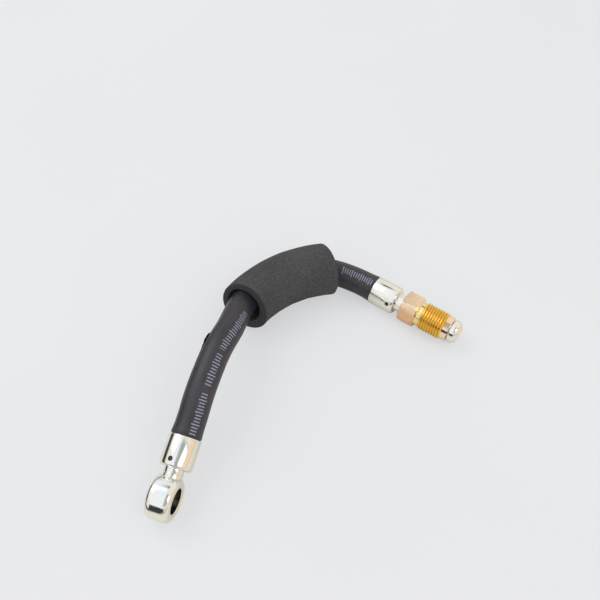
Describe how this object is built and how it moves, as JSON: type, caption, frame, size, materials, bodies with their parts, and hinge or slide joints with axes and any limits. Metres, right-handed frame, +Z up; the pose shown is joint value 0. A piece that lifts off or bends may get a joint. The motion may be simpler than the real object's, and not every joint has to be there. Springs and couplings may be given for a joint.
{
  "type": "hydraulic hose assembly",
  "caption": "Bent rubber hose with a banjo eye on one end, a swivelling male union nut on the other, crimped metal ferrules and a loose foam sleeve over the bend.",
  "frame": {"origin": "centre of the banjo bore, halfway between the two sealing faces", "axes": "+X along the banjo bore's axis, +Y the horizontal way in which the hose leaves the eye, +Z up. The part lies on the plane z = -10.5 mm."},
  "size_m": [0.1317, 0.1725, 0.0357],
  "materials": {
    "zinc_steel": "bright zinc plate",
    "zinc_ferrule": "satin zinc plate",
    "yellow_zinc": "yellow chromated zinc plate",
    "inner_rubber": "matte",
    "braid": "woven textile",
    "cover_rubber": "satin",
    "foam": "matte closed-cell foam"
  },
  "bodies": {
    "hose": {"banjo_eye": "zinc_steel", "banjo_tail": "zinc_steel", "ferrule_banjo": "zinc_ferrule", "hose_liner": "inner_rubber", "hose_inner_braid": "braid", "hose_tie_layer": "inner_rubber", "hose_outer_braid": "braid", "hose_cover": "cover_rubber", "ferrule_union": "zinc_ferrule", "union_tail": "zinc_steel"},
    "nut": {"union_nut": "yellow_zinc"},
    "sleeve": {"foam_sleeve": "foam"}
  },
  "joints": [
    {"name": "union_nut_spin", "type": "hinge", "parent": "hose", "child": "nut", "pos_m": [0.09716, 0.13736, -0.002], "axis": [0.9537, -0.3007, 0], "continuous": true},
    {"name": "sleeve_shift", "type": "hinge", "parent": "hose", "child": "sleeve", "pos_m": [0.0625, 0.0905, 0.0122], "axis": [-0.0397, 0.1152, 0.9925], "range_deg": [-1, 3]}
  ]
}
